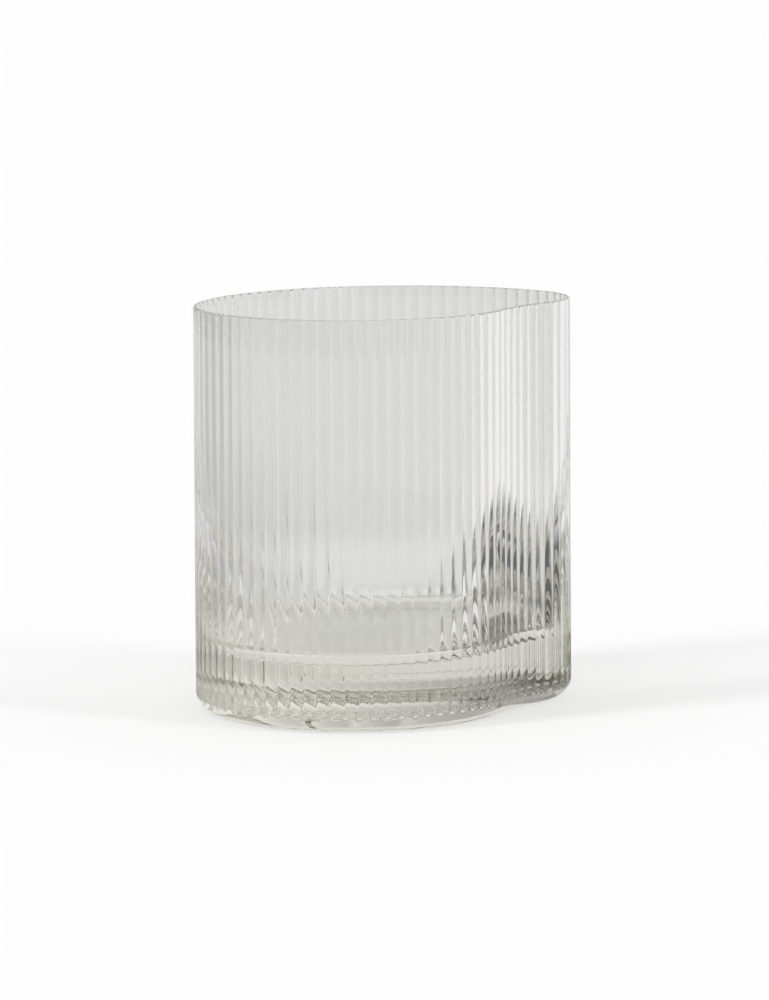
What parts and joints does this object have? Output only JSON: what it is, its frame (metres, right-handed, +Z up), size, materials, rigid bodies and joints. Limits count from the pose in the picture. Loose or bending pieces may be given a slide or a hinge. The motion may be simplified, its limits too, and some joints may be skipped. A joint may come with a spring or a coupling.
{
  "type": "drinking glass",
  "caption": "Drop-shaped tumbler of clear pale grey glass with fine upright ribs outside, a smooth inside, a thin lip and a thick solid base.",
  "frame": {"origin": "on the table, under the middle of the plan's box", "axes": "+Z up to the rim, +X from the round end to the tip, +Y to the bowed back, away from the hollow flank"},
  "size_m": [0.0878, 0.074, 0.09],
  "materials": {
    "glass": "clear pale grey soda glass, fire polished, ribbed outside and smooth inside"
  },
  "bodies": {
    "root": {"base": "glass", "ribbed_wall": "glass", "rim": "glass"}
  },
  "joints": []
}
